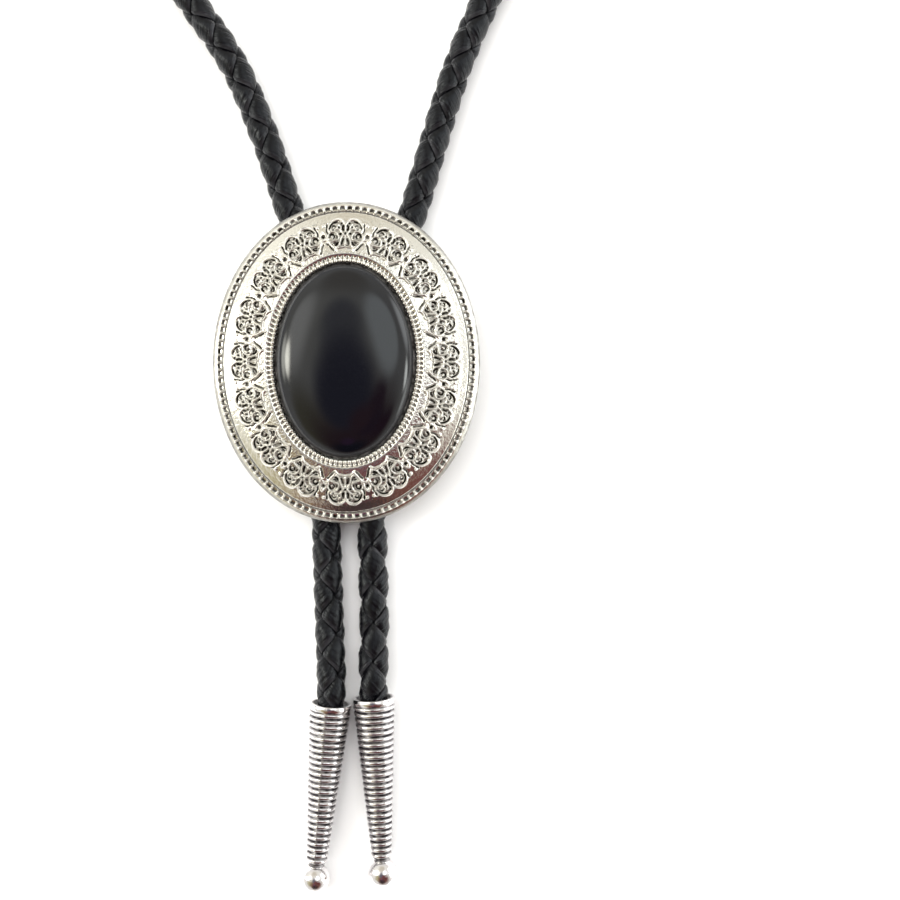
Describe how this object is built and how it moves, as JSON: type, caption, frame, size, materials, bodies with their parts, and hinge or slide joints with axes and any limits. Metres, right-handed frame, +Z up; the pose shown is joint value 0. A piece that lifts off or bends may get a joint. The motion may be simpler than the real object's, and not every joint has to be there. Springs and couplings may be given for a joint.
{
  "type": "bolo tie",
  "caption": "Western bolo tie: oval cast concho with a black cabochon on a braided cord loop that ends in ribbed tips with a ball.",
  "frame": {"origin": "where the clasp's flat underside rests, under the middle of the concho", "axes": "+Z up from the surface through the stone's dome, +Y from the tips towards the neck loop, +X to the wearer's left as seen from the front"},
  "size_m": [0.1977, 0.4039, 0.0116],
  "materials": {
    "silver": "polished silver plate, darkened in its recesses",
    "black_stone": "polished black cabochon",
    "black_leather": "semi-gloss black lace, round braid of four"
  },
  "bodies": {
    "root": {"concho": "silver", "stone": "black_stone", "clasp": "silver", "cord": "black_leather", "tip_left": "silver", "tip_right": "silver"}
  },
  "joints": []
}
